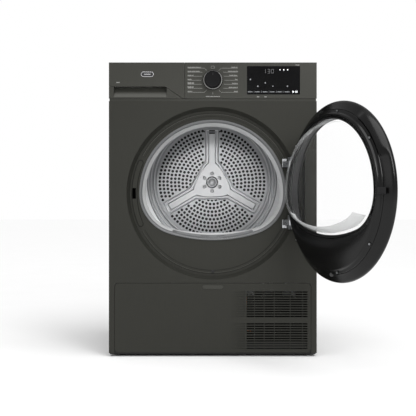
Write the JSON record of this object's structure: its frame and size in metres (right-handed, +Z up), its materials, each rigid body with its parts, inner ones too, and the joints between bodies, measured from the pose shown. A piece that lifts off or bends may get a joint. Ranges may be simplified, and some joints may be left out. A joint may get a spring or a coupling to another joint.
{
  "type": "clothes dryer",
  "caption": "Free-standing heat-pump clothes dryer with an open round door, D-shaped porthole, steel drum, water-tank drawer, knob, display and slotted kick cover.",
  "frame": {"origin": "on the floor, under the middle of the front panel's face", "axes": "+X to the right seen from the front, +Y from the front to the back, +Z up"},
  "size_m": [0.7405, 1.0312, 0.846],
  "materials": {
    "body_paint": "satin metallic grey",
    "fascia_plastic": "satin painted plastic",
    "worktop_board": "laminated board, satin",
    "galvanised": "galvanised sheet",
    "stainless": "polished stainless",
    "black_gloss": "high gloss",
    "black_plastic": "moulded",
    "grey_plastic": "moulded",
    "white_plastic": "moulded",
    "clear_bowl": "clear",
    "tinted_window": "lightly tinted",
    "display_glass": "high gloss",
    "circuit_board": "solder mask",
    "zinc": "zinc plated",
    "cast_metal": "cast",
    "aluminium_fins": "thin fins",
    "copper": "drawn tube",
    "black_enamel": "enamel",
    "rubber": "matt",
    "felt": "felt",
    "filter_cloth": "fine mesh",
    "badge_metal": "polished"
  },
  "bodies": {
    "cabinet": {"base_pan": "black_plastic", "side_panel_left": "body_paint", "side_panel_right": "body_paint", "rear_panel": "galvanised", "rear_duct_cover": "galvanised", "worktop": "worktop_board", "front_panel": "body_paint", "porthole_collar": "grey_plastic", "filter_chute": "grey_plastic", "control_fascia": "fascia_plastic", "display_glass": "display_glass", "display_board": "circuit_board", "control_board": "white_plastic", "tank_guide": "grey_plastic", "hinge_bracket": "zinc", "door_catch": "black_plastic", "rear_bearing": "cast_metal", "front_felt": "felt", "roller_brackets": "galvanised", "drive_belt": "rubber", "motor_body": "cast_metal", "fan_housing": "grey_plastic", "compressor": "black_enamel", "evaporator": "aluminium_fins", "condenser": "aluminium_fins", "refrigerant_pipes": "copper", "cooling_fan_frame": "black_plastic", "condensate_pump": "white_plastic", "mains_gland": "rubber"},
    "door": {"door_ring": "black_gloss", "door_frame": "black_gloss", "door_bowl": "clear_bowl", "door_window": "tinted_window", "door_hook": "zinc", "door_hinge_arm": "zinc", "door_screws": "zinc"},
    "drum": {"drum_shell": "stainless", "drum_back": "stainless", "drum_star": "stainless", "drum_rivets": "stainless", "drum_lifters": "grey_plastic", "drum_shaft": "cast_metal"},
    "motor_shaft": {"motor_rotor": "zinc", "process_fan": "black_plastic"},
    "left_roller": {"roller_left": "rubber"},
    "right_roller": {"roller_right": "rubber"},
    "programme_knob": {"knob": "black_gloss"},
    "tank_drawer": {"tank_front": "fascia_plastic", "water_tank": "white_plastic", "badge_plate": "badge_metal"},
    "filter": {"lint_filter": "grey_plastic", "lint_mesh": "filter_cloth"},
    "service_cover": {"kick_cover": "fascia_plastic"},
    "cover_button": {"kick_latch": "fascia_plastic"},
    "cooling_blades": {"cooling_fan_rotor": "black_plastic"},
    "foot_fl": {"foot_front_left": "black_plastic"},
    "foot_fr": {"foot_front_right": "black_plastic"},
    "foot_rl": {"foot_rear_left": "black_plastic"},
    "foot_rr": {"foot_rear_right": "black_plastic"}
  },
  "joints": [
    {"name": "door_hinge", "type": "hinge", "parent": "cabinet", "child": "door", "pos_m": [0.222, -0.012, 0.4693], "axis": [0, 0, 1], "range_deg": [-116.5, 13.5]},
    {"name": "drum_spin", "type": "hinge", "parent": "cabinet", "child": "drum", "pos_m": [0, 0.3, 0.515], "axis": [0, 1, 0], "continuous": true},
    {"name": "motor_spin", "type": "hinge", "parent": "cabinet", "child": "motor_shaft", "pos_m": [0.215, 0.35, 0.19], "axis": [0, 1, 0], "continuous": true},
    {"name": "left_roller_spin", "type": "hinge", "parent": "cabinet", "child": "left_roller", "pos_m": [-0.19412, 0.129, 0.26654], "axis": [0, 1, 0], "continuous": true},
    {"name": "right_roller_spin", "type": "hinge", "parent": "cabinet", "child": "right_roller", "pos_m": [0.19412, 0.129, 0.26654], "axis": [0, 1, 0], "continuous": true},
    {"name": "knob_turn", "type": "hinge", "parent": "cabinet", "child": "programme_knob", "pos_m": [0, -0.01, 0.7946], "axis": [0, -1, 0], "continuous": true},
    {"name": "tank_slide", "type": "slide", "parent": "cabinet", "child": "tank_drawer", "axis": [0, -1, 0], "range_m": [0, 0.43]},
    {"name": "filter_lift", "type": "slide", "parent": "cabinet", "child": "filter", "axis": [0, 0, 1], "range_m": [0, 0.175]},
    {"name": "cover_swing", "type": "hinge", "parent": "cabinet", "child": "service_cover", "pos_m": [0, 0.008, 0.015], "axis": [1, 0, 0], "range_deg": [0, 85]},
    {"name": "cover_button_press", "type": "slide", "parent": "service_cover", "child": "cover_button", "axis": [0, 1, 0], "range_m": [0, 0.003], "stiffness_N_per_m": 300},
    {"name": "cooling_fan_spin", "type": "hinge", "parent": "cabinet", "child": "cooling_blades", "pos_m": [0.189, 0.05, 0.1], "axis": [0, 1, 0], "continuous": true},
    {"name": "foot_front_left_level", "type": "slide", "parent": "cabinet", "child": "foot_fl", "axis": [0, 0, -1], "range_m": [0, 0.012]},
    {"name": "foot_front_right_level", "type": "slide", "parent": "cabinet", "child": "foot_fr", "axis": [0, 0, -1], "range_m": [0, 0.012]},
    {"name": "foot_rear_left_level", "type": "slide", "parent": "cabinet", "child": "foot_rl", "axis": [0, 0, -1], "range_m": [0, 0.012]},
    {"name": "foot_rear_right_level", "type": "slide", "parent": "cabinet", "child": "foot_rr", "axis": [0, 0, -1], "range_m": [0, 0.012]}
  ],
  "couplings": [
    {"joint": "motor_spin", "follows": "drum_spin", "ratio": 35},
    {"joint": "left_roller_spin", "follows": "drum_spin", "ratio": -8},
    {"joint": "right_roller_spin", "follows": "drum_spin", "ratio": -8}
  ]
}
